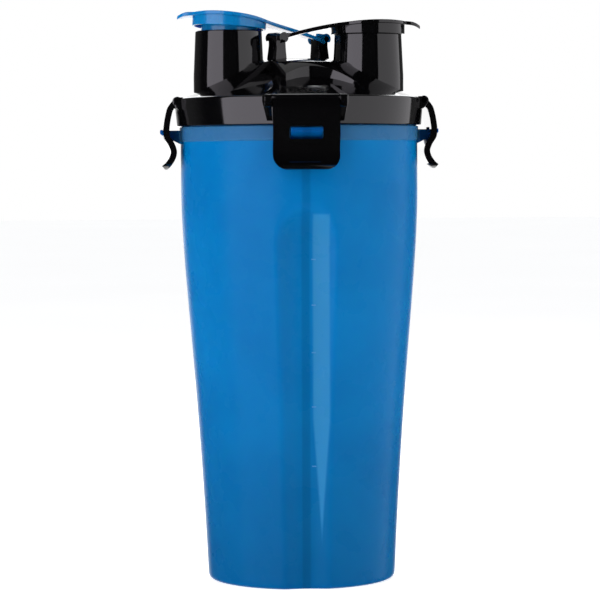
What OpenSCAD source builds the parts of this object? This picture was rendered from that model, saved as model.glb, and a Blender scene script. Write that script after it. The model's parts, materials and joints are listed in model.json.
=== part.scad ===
// Protein shaker bottle with two chambers. Millimetres, +Z up.
// The origin is the centre of the base, on the surface that the bottle stands on.
// The divider lies in the YZ plane, so the chambers and spouts are on the left (-X) and right (+X).

/* [Cup] */
// Radius of the base
base_r = 41.4; // [41:0.1:42]
// Radius of the straight upper part
body_r = 52.25; // [52:0.05:52.4]
// Wall thickness
wall = 2; // [1.8:0.1:2.2]
// Thickness of the floor
floor_t = 3.4; // [3:0.1:4]
// Height of the rim
rim_z = 205; // [204.9:0.1:205]
// Thickness of the divider between the chambers
divider_t = 2; // [1.6:0.1:2.4]
// Radius of the upright grooves at the front and the back
groove_r = 16.5; // [16:0.1:17]
// Depth of the grooves at the base
groove_low = 3.5; // [3:0.1:4]
// Depth of the grooves at the top
groove_high = 8; // [7:0.1:8.5]

/* [Lid] */
// Height of the skirt's lower edge
skirt_z = 200.1; // [200:0.05:200.5]
// Outer radius at the skirt's lower edge
skirt_r = 54; // [53.9:0.05:54.1]
// Outer radius at the skirt's upper edge
shoulder_r = 54.9; // [54.8:0.05:55]
// Radius of the bore of each spout
bore_r = 13; // [12.9:0.05:13.1]
// Distance from the middle of the lid to the middle of each spout
spout_x = 30.8; // [30.5:0.1:31]
// Height of the mouths of the spouts
mouth_z = 242; // [241.9:0.05:242.1]

/* [Flip caps] */
// Radius of the round part of each cap
cap_r = 17.3; // [17:0.1:17.4]
// Thickness of the cap's plate
cap_t = 1.6; // [1.5:0.05:1.8]
// Height of the hinge pins of the caps
cap_pin_z = 238.6; // [238.5:0.05:238.7]
// Angle between the hinge pins and the divider
cap_turn = 30; // [28:1:32]
// Angle by which the left cap stands ajar
ajar = 4.5; // [0:0.5:6]

/* [Latches] */
// Distance from the middle to each latch's hinge pin
latch_pin_x = 53.8; // [53.7:0.05:53.9]
// Height of the latches' hinge pins
latch_pin_z = 210.8; // [210.7:0.05:210.9]
// Width of each latch
latch_w = 28.4; // [28:0.1:28.6]
// Thickness of each latch
latch_t = 2.7; // [2.4:0.1:2.8]

/* [Hidden] */
$fn = 96;
eps = 0.01;
far = 70;                       // reaches past the outside everywhere

base_round = 3;                 // radius of the rounded edge round the base
straight_z = 175;               // the wall is straight from here up
collar_z = 193.3;
collar_r = 52.7;
neck_z = 199.8;
neck_r = 51.6;
divider_z = 203.5;
foot_r = 35;
foot_h = 1;
groove_top_z = 150;             // where a groove's round end starts

seal_t = 1.6;                   // thickness of the gasket and of the divider's seal
land_z = rim_z + seal_t;        // the lid's flat underside
rib_z = divider_z + seal_t;     // the lower edge of the lid's rib over the divider
rim_slope = 0.31;               // slope of the scooped parts of the lid
hub_slope = 0.55;               // slope of the raised part of the lid
edge_r = 54.2;
edge_z = 212.5;
crown_r = 23;
crown_z = 227.7;
crown_top = 230.5;
roof_t = 2.3;
plug_ring_r = 49.2;
plug_ring_in = 47.4;
plug_ring_z = 200.6;
spout_top_r = 14.8;
spout_foot_r = 15.7;
spout_low = land_z + 1;         // the spouts' lower ends, under the roof

ear_w = 3;
ear_gap = 0.3;
knuckle_r = 2.1;
latch_pin_r = 1;
pocket_r = 2.9;
slot_w = 14.4;
slot_low = 193.8;
slot_high = 199.3;
lug_w = 13.4;
play = 0.05;                    // radial clearance of a hinge

cap_hinge = [-9.8, -8.5];       // the right cap's hinge, left of the middle
cap_pin_r = 1.25;
post_t = 4.6;
post_w = 6.6;
post_foot = [[-4.6, 3.2], [-4.8, 3.6]]; // where the post's foot reaches, along the cap and along the pin
hook_w = 2.2;
hook_r = 2.3;
hook_gap = 0.25;
arch_r = 147;                   // the cap's plate is part of a wide arch
arch_x = 37;
arch_top = 246.2;
collar_in = 15.15;
collar_out = 16.35;
collar_low = 240.2;
cap_plug_r = 12.2;
cap_plug_in = 10.4;
cap_plug_z = 234.5;
ring_r = 12.75;
ring_z = [235.6, 237.6];

grid_t = 1.5;
grid_pitch = 5.6;
grid_hole = 3.4;

SIDES = ["right", "back", "left", "front"];

// A point at t from 0 to 1 on the curve with four control points.
function curve(p, t) =
    (1 - t) * (1 - t) * (1 - t) * p[0] + 3 * t * (1 - t) * (1 - t) * p[1]
    + 3 * t * t * (1 - t) * p[2] + t * t * t * p[3];

// The cup's side from the rounded foot edge to the straight part, moved in by d.
function side(d) =
    let (p = [[base_r, base_round], [base_r + 4.8, 105], [body_r, 135], [body_r, straight_z]])
    [for (i = [0:8]) curve(p, i / 8) - [d, 0]];

// Both edges of a strip of thickness t along the open line p.
function along(p, i) = let (d = p[min(i + 1, len(p) - 1)] - p[max(i - 1, 0)]) d / norm(d);
function strip(p, t) = concat(
    [for (i = [0:len(p) - 1]) let (d = along(p, i)) p[i] + t / 2 * [-d[1], d[0]]],
    [for (i = [len(p) - 1:-1:0]) let (d = along(p, i)) p[i] - t / 2 * [-d[1], d[0]]]);

module turned(side_name) {
    rotate([0, 0, 90 * search([side_name], SIDES)[0]]) children();
}

// A bar along Y, centred, with its outline drawn in X and Z.
module bar_y(w) {
    translate([0, w / 2, 0]) rotate([90, 0, 0]) linear_extrude(w) children();
}

module rod_y(r, w) {
    bar_y(w) circle(r);
}

// ---- cup ----

module groove(extra) {
    low = base_r - groove_low + groove_r;
    high = body_r - groove_high + groove_r;
    lean = atan((high - low) / groove_top_z);
    for (turn = [0, 180]) rotate([0, 0, turn]) translate([0, -low, 0]) rotate([lean, 0, 0]) {
        translate([0, 0, -5]) cylinder(h = groove_top_z + 5, r = groove_r + extra);
        translate([0, 0, groove_top_z]) sphere(groove_r + extra);
    }
}

module lug() {
    bar_y(lug_w) polygon([
        [51.2, 192], [52.4, 192.4], [60.6, 196.4], [61.3, 197],
        [61.3, 198.6], [60.4, 198.7], [59.9, 198.3], [51.2, 198.3]]);
}

module cup_outside() {
    rotate_extrude() polygon(concat(
        [[0, 0]],
        [for (a = [-90:22.5:0]) [base_r - base_round, base_round] + base_round * [cos(a), sin(a)]],
        side(0),
        [[body_r, collar_z], [collar_r, collar_z + 0.4], [collar_r, neck_z - 0.3], [collar_r - 0.3, neck_z],
         [neck_r, neck_z], [neck_r, rim_z], [0, rim_z]]));
}

module cup_void() {
    difference() {
        rotate_extrude() polygon(concat(
            [[0, floor_t], [base_r - wall - 2, floor_t], [base_r - wall - 0.6, floor_t + 0.6]],
            [for (q = side(wall)) if (q[1] > floor_t + 1) q],
            [[neck_r - wall, collar_z], [neck_r - wall, rim_z + 1], [0, rim_z + 1]]));
        translate([-divider_t / 2, -far, 0]) cube([divider_t, 2 * far, divider_z]);
        groove(wall);
    }
}

module cup_body() {
    color([0.0, 0.45, 0.73]) difference() {
        union() {
            cup_outside();
            for (s = SIDES) turned(s) lug();
        }
        groove(0);
        cup_void();
        translate([0, 0, -eps]) cylinder(h = foot_h, r1 = foot_r, r2 = foot_r - 1);
    }
}

// ---- lid ----

function roof_z(r) = edge_z + (edge_r - r) * rim_slope;

// The whole lid without its raised middle part, closed below.
module roof() {
    rotate_extrude() polygon([
        [0, plug_ring_z], [plug_ring_r - 0.5, plug_ring_z], [plug_ring_r, plug_ring_z + 0.5],
        [plug_ring_r, land_z], [neck_r + 0.35, land_z], [neck_r + 0.35, skirt_z + 0.3],
        [neck_r + 0.65, skirt_z], [skirt_r - 0.3, skirt_z], [skirt_r, skirt_z + 0.3],
        [shoulder_r, 211.2], [shoulder_r - 0.1, 211.8], [edge_r, edge_z], [0, roof_z(0)]]);
}

// The raised middle part before it is scooped out, moved down and in by d.
module hub(d) {
    foot = 48;
    rotate_extrude() polygon([
        [0, land_z + 1], [foot - d, land_z + 1], [foot - d, crown_z - hub_slope * (foot - crown_r) - d],
        [crown_r, crown_z - d], [crown_r / 2, crown_z + 0.78 * (crown_top - crown_z) - d], [0, crown_top - d]]);
}

// The front scoop and the back one: a wide bay, and a notch that reaches the hinge post.
module scoops(extra) {
    for (turn = [0, 180]) rotate([0, 0, turn]) translate([0, 0, land_z - 1]) linear_extrude(40) {
        translate([8, -46.5]) circle(20.5 + extra);
        polygon([[-12.5 - extra, -46.5], [28.5 + extra, -46.5], [36 + extra, -62], [-20 - extra, -62]]);
        polygon([[-31 - extra, -60], [-31 - extra, -36], [-13, -13.4 + 1.5 * extra],
                 [-6 + extra, -36], [-6 + extra, -60]]);
    }
}

// The hollow under the roof and the raised part, open below.
module lid_inside() {
    difference() {
        union() {
            rotate_extrude() polygon([
                [0, plug_ring_z - 1], [plug_ring_in, plug_ring_z - 1],
                [plug_ring_in, roof_z(plug_ring_in) - roof_t], [0, roof_z(0) - roof_t]]);
            difference() {
                hub(1.2 * roof_t);
                scoops(roof_t);
            }
        }
        // the rib over the divider
        translate([-1.5, -far, rib_z]) cube([3, 2 * far, 30]);
    }
}

// The right spout without its bore. It stands in the lid and is moulded in one with it, and is
// a node of its own so that its collision stays a plain tube.
module spout_outside() {
    translate([spout_x, 0, 0]) rotate_extrude() polygon([
        [0, spout_low], [spout_foot_r, spout_low], [spout_foot_r, 222], [spout_top_r, mouth_z - 0.4],
        [spout_top_r - 0.4, mouth_z], [0, mouth_z]]);
}

module spout() {
    color([0.03, 0.03, 0.035]) difference() {
        spout_outside();
        translate([spout_x, 0, 200]) cylinder(h = 50, r = bore_r);
    }
}

module at_cap_hinge() {
    translate([cap_hinge[0], cap_hinge[1], cap_pin_z]) rotate([0, 0, cap_turn]) children();
}

module post() {
    low = 219 - cap_pin_z;
    at_cap_hinge() {
        rod_y(post_t / 2 + 0.15, post_w);
        translate([-post_t / 2, -post_w / 2, -3.4]) cube([post_t, post_w, 3.4]);
        // The foot spreads down to the roof: two tapered bars that cross.
        intersection() {
            bar_y(20) polygon([[post_foot[0][0], low], [post_foot[0][1], low],
                               [post_t / 2, -3.4], [-post_t / 2, -3.4]]);
            rotate([0, 0, 90]) bar_y(20) polygon([[post_foot[1][0], low], [post_foot[1][1], low],
                                                  [post_w / 2, -3.4], [-post_w / 2, -3.4]]);
        }
    }
}

module latch_ears() {
    y = latch_w / 2 + ear_gap;
    for (m = [0, 1]) mirror([0, m, 0]) translate([0, y + ear_w / 2, 0]) {
        translate([latch_pin_x, 0, latch_pin_z]) rod_y(knuckle_r, ear_w);
        translate([48.5, -ear_w / 2, 207.2]) cube([latch_pin_x - 48.5, ear_w, latch_pin_z - 207.2]);
        translate([48.5, -ear_w / 2, latch_pin_z]) cube([latch_pin_x - 48.5, ear_w, knuckle_r - 0.3]);
    }
}

module lid_shell() {
    color([0.03, 0.03, 0.035]) difference() {
        union() {
            roof();
            difference() {
                hub(0);
                scoops(0);
            }
            for (turn = [0, 180]) rotate([0, 0, turn]) post();
            for (s = SIDES) turned(s) latch_ears();
        }
        lid_inside();
        // slots that let the divider's ends pass the plug ring
        translate([-divider_t / 2 - 0.3, -plug_ring_r - 1, plug_ring_z - 1])
            cube([divider_t + 0.6, 2 * plug_ring_r + 2, rib_z - plug_ring_z + 1]);
        for (turn = [0, 180]) rotate([0, 0, turn]) {
            spout_outside();
            at_cap_hinge() rod_y(cap_pin_r, 20);
        }
        for (s = SIDES) turned(s) translate([latch_pin_x, 0, latch_pin_z]) {
            rod_y(pocket_r, latch_w + 2 * ear_gap);
            rod_y(latch_pin_r, latch_w + 10);
        }
    }
}

module rim_gasket() {
    color([0.75, 0.76, 0.78]) translate([0, 0, rim_z]) difference() {
        cylinder(h = seal_t, r = neck_r);
        translate([0, 0, -1]) cylinder(h = seal_t + 2, r = neck_r - wall);
    }
}

module divider_seal() {
    color([0.75, 0.76, 0.78]) intersection() {
        translate([-1.2, -far, divider_z]) cube([2.4, 2 * far, seal_t]);
        translate([0, 0, divider_z - 1]) cylinder(h = 4, r = plug_ring_r - 0.1);
    }
}

// A half-round mixing grid for the right chamber, with square holes.
module grid() {
    half = 1.5;
    color([0.12, 0.12, 0.13]) difference() {
        translate([0, 0, plug_ring_z + 0.4]) cylinder(h = grid_t, r = plug_ring_in);
        translate([-far + half, -far, plug_ring_z]) cube([far, 2 * far, 5]);
        for (i = [1:7], j = [-7:7]) let (x = half + i * grid_pitch, y = j * grid_pitch)
            if (norm([x + 2, abs(y) + 2]) < plug_ring_in - 1.5)
                translate([x - grid_hole / 2, y - grid_hole / 2, plug_ring_z])
                    cube([grid_hole, grid_hole, 5]);
    }
}

// ---- latches ----

module latch() {
    path = [[latch_pin_x + 1.0, latch_pin_z - 0.5], [56.8, 207.6], [57.6, 205], [58.2, 202],
            [58.6, 198.5], [58.3, 195.4], [56.5, 192.4], [55.4, 189.1], [56.1, 186.1],
            [58.0, 183.3], [59.8, 181.8]];
    corner = 6;
    color([0.02, 0.02, 0.025]) difference() {
        union() {
            translate([latch_pin_x, 0, latch_pin_z]) rod_y(knuckle_r, latch_w);
            bar_y(latch_w) polygon(strip(path, latch_t));
        }
        translate([latch_pin_x, 0, latch_pin_z]) rod_y(latch_pin_r + play, latch_w + 1);
        translate([54, -slot_w / 2, slot_low]) cube([8, slot_w, slot_high - slot_low]);
        for (m = [0, 1]) mirror([0, m, 0]) difference() {
            translate([50, latch_w / 2 - corner, 180]) cube([14, corner + 1, corner + 1]);
            translate([49, latch_w / 2 - corner, 181 + corner]) rotate([0, 90, 0]) cylinder(h = 16, r = corner);
            translate([49, latch_w / 2 - corner - 1, 181 + corner]) cube([16, corner + 2, 2]);
        }
    }
}

module latch_pin() {
    color([0.05, 0.05, 0.055]) translate([latch_pin_x, 0, latch_pin_z])
        rod_y(latch_pin_r, latch_w + 2 * (ear_gap + ear_w));
}

// ---- flip caps, drawn closed over the right spout ----

module cap_outline() {
    u = [cos(cap_turn), sin(cap_turn)];
    v = [-u[1], u[0]];
    half = post_w / 2 + hook_gap + hook_w;
    root = cap_hinge + 2.6 * u;
    translate([spout_x, 0]) circle(cap_r);
    polygon([root - half * v, [22, -14.6], [spout_x, 0], [15, 2], [2, -2.2], root + half * v]);
    // the thumb tab
    translate([47.4, 0]) circle(6.5);
}

module under_arch(r) {
    translate([arch_x, 0, arch_top - arch_r]) rod_y(r, 80);
}

module cap_ring(out_r, in_r, low) {
    translate([spout_x, 0, low]) difference() {
        cylinder(h = 20, r = out_r);
        translate([0, 0, -1]) cylinder(h = 22, r = in_r);
    }
}

module cap_hooks() {
    for (m = [-1, 1]) at_cap_hinge() translate([0, m * (post_w / 2 + hook_gap + hook_w / 2), 0])
        difference() {
            union() {
                rod_y(hook_r, hook_w);
                translate([0, -hook_w / 2, 0.5]) cube([4, hook_w, hook_r - 0.8]);
            }
            rod_y(cap_pin_r + play, hook_w + 1);
            rotate([0, 30, 0]) translate([-0.9, -hook_w, -5]) cube([1.8, 2 * hook_w, 5]);
        }
}

module cap(tint) {
    color(tint) difference() {
        union() {
            difference() {
                intersection() {
                    translate([0, 0, 230]) linear_extrude(25) cap_outline();
                    under_arch(arch_r);
                }
                under_arch(arch_r - cap_t);
            }
            intersection() {
                union() {
                    cap_ring(collar_out, collar_in, collar_low);
                    cap_ring(cap_plug_r, cap_plug_in, cap_plug_z);
                }
                under_arch(arch_r - cap_t / 2);
            }
            cap_hooks();
        }
        // the groove that holds the sealing ring
        seal_ring(ring_r + 1);
    }
}

// The sealing ring round the plug, out to radius r.
module seal_ring(r) {
    translate([spout_x, 0, ring_z[0]]) difference() {
        cylinder(h = ring_z[1] - ring_z[0], r = r);
        translate([0, 0, -1]) cylinder(h = 5, r = cap_plug_r - 0.6);
    }
}

module cap_seal() {
    color([0.75, 0.76, 0.78]) seal_ring(ring_r);
}

module cap_pin() {
    color([0.05, 0.05, 0.055]) at_cap_hinge() rod_y(cap_pin_r, post_w + 2 * (hook_gap + hook_w));
}

// Turns a piece of the left cap about its hinge to where it stands ajar.
module stand_ajar() {
    rotate([0, 0, 180]) translate([cap_hinge[0], cap_hinge[1], cap_pin_z])
        rotate(a = -ajar, v = [-sin(cap_turn), cos(cap_turn), 0])
            translate([-cap_hinge[0], -cap_hinge[1], -cap_pin_z]) children();
}

cup_body();
lid_shell();
spout();  // spout_right
rotate([0, 0, 180]) spout();  // spout_left
rim_gasket();
divider_seal();
for (s = SIDES) turned(s) latch();
for (s = SIDES) turned(s) latch_pin();
cap([0.03, 0.03, 0.035]);  // cap_right
stand_ajar() cap([0.0, 0.42, 0.72]);  // cap_left
cap_seal();  // cap_seal_right
stand_ajar() cap_seal();  // cap_seal_left
cap_pin();  // cap_pin_right
rotate([0, 0, 180]) cap_pin();  // cap_pin_left
grid();  // grid_right
rotate([0, 0, 180]) grid();  // grid_left
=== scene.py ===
"""A two-chamber shaker bottle: finished pieces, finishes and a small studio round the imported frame."""

import json
import logging
import math
from collections.abc import Callable, Iterable, Sequence
from dataclasses import dataclass, field
from enum import Enum

import bpy
from mathutils import Matrix, Vector


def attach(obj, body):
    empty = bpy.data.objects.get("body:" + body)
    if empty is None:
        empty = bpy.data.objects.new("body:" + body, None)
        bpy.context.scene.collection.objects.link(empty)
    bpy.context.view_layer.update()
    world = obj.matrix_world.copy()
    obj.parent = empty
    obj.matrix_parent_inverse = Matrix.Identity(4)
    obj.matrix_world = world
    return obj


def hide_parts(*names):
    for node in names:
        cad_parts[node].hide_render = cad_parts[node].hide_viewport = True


LOG = logging.getLogger("shaker")
MM = 0.001
Point = tuple[float, float]
Solid = bpy.types.Object
Socket = bpy.types.NodeSocket
LATCH_PIN: Point = (53.8, 210.8)
LATCH_BARREL = 2.1

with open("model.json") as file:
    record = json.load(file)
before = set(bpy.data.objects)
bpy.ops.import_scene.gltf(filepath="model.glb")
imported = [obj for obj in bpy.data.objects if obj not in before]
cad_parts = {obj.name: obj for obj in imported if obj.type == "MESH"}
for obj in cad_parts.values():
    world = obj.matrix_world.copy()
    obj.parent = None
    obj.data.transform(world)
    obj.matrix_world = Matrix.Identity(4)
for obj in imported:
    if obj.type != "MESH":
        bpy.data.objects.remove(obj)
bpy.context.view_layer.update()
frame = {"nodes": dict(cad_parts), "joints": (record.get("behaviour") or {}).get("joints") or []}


class Side(Enum):
    """The four sides that carry a latch, with the turn from the right one in degrees."""

    RIGHT = 0
    BACK = 90
    LEFT = 180
    FRONT = 270

    @property
    def tag(self) -> str:
        """Returns the side's name as the nodes use it."""
        return self.name.lower()


class Cut(Enum):
    """What a second solid does to the first."""

    AWAY = "DIFFERENCE"
    JOIN = "UNION"
    KEEP = "INTERSECT"


# ---------------------------------------------------------------- bench tools


class Bench:
    """Hand operations on the solid that is being worked on."""

    @staticmethod
    def clear() -> None:
        """Leaves edit mode and deselects everything."""
        if bpy.context.object and bpy.context.object.mode != "OBJECT":
            bpy.ops.object.mode_set(mode="OBJECT")
        bpy.ops.object.select_all(action="DESELECT")

    @staticmethod
    def take(solid: Solid) -> None:
        """Selects one solid and makes it the active one."""
        Bench.clear()
        solid.select_set(True)
        bpy.context.view_layer.objects.active = solid

    @staticmethod
    def settle(solid: Solid) -> None:
        """Puts the solid's place, turn and size into its mesh."""
        Bench.take(solid)
        bpy.ops.object.transform_apply(location=True, rotation=True, scale=True)

    @staticmethod
    def move(solid: Solid, place: Matrix) -> Solid:
        """Moves a settled solid and settles it again.

        Args:
            solid: The solid to move.
            place: The movement, in metres.

        Returns:
            The same solid.
        """
        solid.matrix_world = place @ solid.matrix_world
        bpy.context.view_layer.update()
        Bench.settle(solid)
        return solid

    @staticmethod
    def turned(name: str, outline: Sequence[Point], steps: int, closed: bool = False) -> Solid:
        """Turns an outline round the upright axis, ring by ring.

        Args:
            name: The solid's name.
            outline: Radius and height of each ring in millimetres, from the first ring to the last.
            steps: How many faces go round.
            closed: True if the last ring is the first one again; otherwise both ends get a flat face.

        Returns:
            The turned solid.
        """
        Bench.clear()
        first = outline[0]
        bpy.ops.mesh.primitive_circle_add(vertices=steps, radius=first[0] * MM, location=(0, 0, first[1] * MM),
                                          fill_type="NOTHING" if closed else "NGON")
        solid = bpy.context.object
        solid.name = name
        bpy.ops.object.transform_apply(location=True)
        bpy.ops.object.mode_set(mode="EDIT")
        bpy.ops.mesh.select_mode(type="EDGE")
        bpy.ops.mesh.select_all(action="SELECT")
        if not closed:
            bpy.ops.mesh.delete(type="ONLY_FACE")
            bpy.ops.mesh.select_all(action="SELECT")
            bpy.ops.mesh.duplicate()
            bpy.ops.mesh.edge_face_add()
            bpy.ops.mesh.select_all(action="DESELECT")
            bpy.ops.mesh.select_non_manifold()
            bpy.ops.mesh.select_all(action="SELECT")
            bpy.ops.mesh.remove_doubles(threshold=1e-7)
            bpy.ops.mesh.select_all(action="SELECT")
            bpy.ops.mesh.region_to_loop()
        for (r0, z0), (r1, z1) in zip(outline, outline[1:]):
            bpy.ops.mesh.extrude_edges_move(TRANSFORM_OT_translate={"value": (0, 0, (z1 - z0) * MM)})
            if abs(r1 - r0) > 1e-9:
                bpy.ops.transform.resize(value=(r1 / r0, r1 / r0, 1), center_override=(0, 0, 0))
        if not closed:
            bpy.ops.mesh.edge_face_add()
        Bench.close_up()
        return solid

    @staticmethod
    def raised(name: str, corners: Sequence[Sequence[float]], travel: Sequence[float]) -> Solid:
        """Makes a solid by pulling a flat outline along a line.

        Args:
            name: The solid's name.
            corners: The outline's corners in millimetres.
            travel: How far the outline is pulled, in millimetres.

        Returns:
            The solid.
        """
        Bench.clear()
        bpy.ops.mesh.primitive_circle_add(vertices=len(corners), radius=MM, fill_type="NOTHING")
        solid = bpy.context.object
        solid.name = name
        for point, corner in zip(solid.data.vertices, corners):
            point.co = Vector(corner) * MM
        bpy.ops.object.mode_set(mode="EDIT")
        bpy.ops.mesh.select_all(action="SELECT")
        bpy.ops.mesh.edge_face_add()
        bpy.ops.mesh.extrude_region_move(TRANSFORM_OT_translate={"value": [v * MM for v in travel]})
        Bench.close_up()
        return solid

    @staticmethod
    def slab(name: str, outline: Sequence[Point], width: float) -> Solid:
        """Makes a solid along Y round the middle, from a closed outline in X and Z.

        Args:
            name: The solid's name.
            outline: The outline's corners in millimetres.
            width: The solid's width in millimetres.

        Returns:
            The solid.
        """
        return Bench.raised(name, [(x, -width / 2, z) for x, z in outline], (0, width, 0))

    @staticmethod
    def close_up() -> None:
        """Merges doubled points, turns the faces outwards and leaves edit mode."""
        bpy.ops.mesh.select_all(action="SELECT")
        bpy.ops.mesh.remove_doubles(threshold=2e-6)
        bpy.ops.mesh.normals_make_consistent(inside=False)
        bpy.ops.object.mode_set(mode="OBJECT")

    @staticmethod
    def block(low: Sequence[float], high: Sequence[float], name: str = "block") -> Solid:
        """Makes a block between two corners given in millimetres.

        Args:
            low: The lowest corner.
            high: The highest corner.
            name: The solid's name.

        Returns:
            The block.
        """
        Bench.clear()
        middle = [(a + b) / 2 * MM for a, b in zip(low, high)]
        bpy.ops.mesh.primitive_cube_add(size=1, location=middle)
        solid = bpy.context.object
        solid.name = name
        solid.scale = [(b - a) * MM for a, b in zip(low, high)]
        Bench.settle(solid)
        return solid

    @staticmethod
    def rod(radius: float, width: float, steps: int = 32, edge: float = 0.0, name: str = "rod") -> Solid:
        """Makes a rod along Y round the middle, with rounded ends if edge is given.

        Args:
            radius: Radius in millimetres.
            width: Length in millimetres.
            steps: How many faces go round.
            edge: Radius of the rounded rims in millimetres.
            name: The solid's name.

        Returns:
            The rod.
        """
        Bench.clear()
        bpy.ops.mesh.primitive_cylinder_add(vertices=steps, radius=radius * MM, depth=width * MM,
                                            rotation=(math.pi / 2, 0, 0))
        solid = bpy.context.object
        solid.name = name
        Bench.settle(solid)
        if edge:
            Bench.soften(solid, edge, 2, 60)
        return solid

    @staticmethod
    def cut(solid: Solid, tool: Solid, how: Cut) -> Solid:
        """Cuts, joins or trims a solid with another one, which is used up.

        Args:
            solid: The solid that stays.
            tool: The solid that is used up.
            how: What the tool does.

        Returns:
            The solid that stays.
        """
        Bench.take(solid)
        step = solid.modifiers.new("cut", "BOOLEAN")
        step.operation = how.value
        step.solver = "EXACT"
        step.object = tool
        bpy.ops.object.modifier_apply(modifier=step.name)
        bpy.data.objects.remove(tool)
        return solid

    @staticmethod
    def soften(solid: Solid, width: float, segments: int = 3, angle: float = 32) -> Solid:
        """Rounds the edges that are sharper than an angle.

        Args:
            solid: The solid to soften.
            width: Width of the rounding in millimetres.
            segments: How many faces make the rounding.
            angle: The least angle of a sharp edge, in degrees.

        Returns:
            The same solid.
        """
        Bench.take(solid)
        step = solid.modifiers.new("soften", "BEVEL")
        step.width = width * MM
        step.segments = segments
        step.limit_method = "ANGLE"
        step.angle_limit = math.radians(angle)
        step.use_clamp_overlap = True
        step.miter_outer = "MITER_ARC"
        bpy.ops.object.modifier_apply(modifier=step.name)
        return solid

    @staticmethod
    def polish(solid: Solid, angle: float = 35) -> Solid:
        """Merges doubled points and shades the solid smooth.

        Args:
            solid: The solid to polish.
            angle: The least angle of an edge that stays sharp, in degrees.

        Returns:
            The same solid.
        """
        Bench.take(solid)
        bpy.ops.object.mode_set(mode="EDIT")
        bpy.ops.mesh.select_all(action="SELECT")
        bpy.ops.mesh.remove_doubles(threshold=2e-6)
        bpy.ops.object.mode_set(mode="OBJECT")
        bpy.ops.object.shade_smooth_by_angle(angle=math.radians(angle))
        return solid

    @staticmethod
    def copy(solid: Solid, name: str, place: Matrix) -> Solid:
        """Copies a solid with a mesh of its own and moves the copy.

        Args:
            solid: The solid to copy.
            name: The copy's name.
            place: Where the copy goes, from the first one's place.

        Returns:
            The copy.
        """
        twin = solid.copy()
        twin.data = solid.data.copy()
        twin.name = name
        bpy.context.scene.collection.objects.link(twin)
        return Bench.move(twin, place)

    @staticmethod
    def shape(solid: Solid, rule: Callable[[Vector], Vector]) -> Solid:
        """Moves every point of a solid.

        Args:
            solid: The solid to shape.
            rule: Gives a point's new place, in millimetres.

        Returns:
            The same solid.
        """
        for point in solid.data.vertices:
            point.co = rule(point.co / MM) * MM
        solid.data.update()
        return solid


def about_z(degrees: float) -> Matrix:
    """Returns a turn round the upright axis."""
    return Matrix.Rotation(math.radians(degrees), 4, "Z")


def shift(x: float, y: float, z: float) -> Matrix:
    """Returns a movement given in millimetres."""
    return Matrix.Translation(Vector((x, y, z)) * MM)


def arc(centre: Point, radius: float, start: float, end: float, count: int) -> list[Point]:
    """Works out points along an arc.

    Args:
        centre: The arc's centre.
        radius: The arc's radius.
        start: The first angle in degrees.
        end: The last angle in degrees.
        count: How many steps there are between them.

    Returns:
        The points, with both ends.
    """
    angles = [math.radians(start + (end - start) * i / count) for i in range(count + 1)]
    return [(centre[0] + radius * math.cos(a), centre[1] + radius * math.sin(a)) for a in angles]


def eased(points: Sequence[Point], count: int) -> list[Point]:
    """Draws a smooth line through some points.

    Args:
        points: The points that the line passes.
        count: How many steps there are from one point to the next.

    Returns:
        The points of the smooth line.
    """
    line = []
    ends = [points[0], *points, points[-1]]
    for p0, p1, p2, p3 in zip(ends, ends[1:], ends[2:], ends[3:]):
        for i in range(count):
            t = i / count
            line.append(tuple(
                0.5 * (2 * b + (c - a) * t + (2 * a - 5 * b + 4 * c - d) * t * t + (3 * b - a - 3 * c + d) * t**3)
                for a, b, c, d in zip(p0, p1, p2, p3)))
    return [*line, tuple(points[-1])]


def rounded(points: Sequence[Point], radius: float, count: int = 4) -> list[Point]:
    """Rounds the inner corners of an open outline.

    Args:
        points: The outline.
        radius: How far from a corner the rounding starts; less where a side is short.
        count: How many steps a rounding has.

    Returns:
        The outline with rounded corners.
    """
    line = [points[0]]
    for before, corner, after in zip(points, points[1:], points[2:]):
        to_before = Vector(before) - Vector(corner)
        to_after = Vector(after) - Vector(corner)
        reach = min(radius, to_before.length * 0.45, to_after.length * 0.45)
        start = Vector(corner) + to_before.normalized() * reach
        end = Vector(corner) + to_after.normalized() * reach
        for i in range(count + 1):
            t = i / count
            point = start * (1 - t) ** 2 + Vector(corner) * 2 * t * (1 - t) + end * t * t
            line.append((point.x, point.y))
    return [*line, points[-1]]


# ---------------------------------------------------------------- finishes


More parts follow.
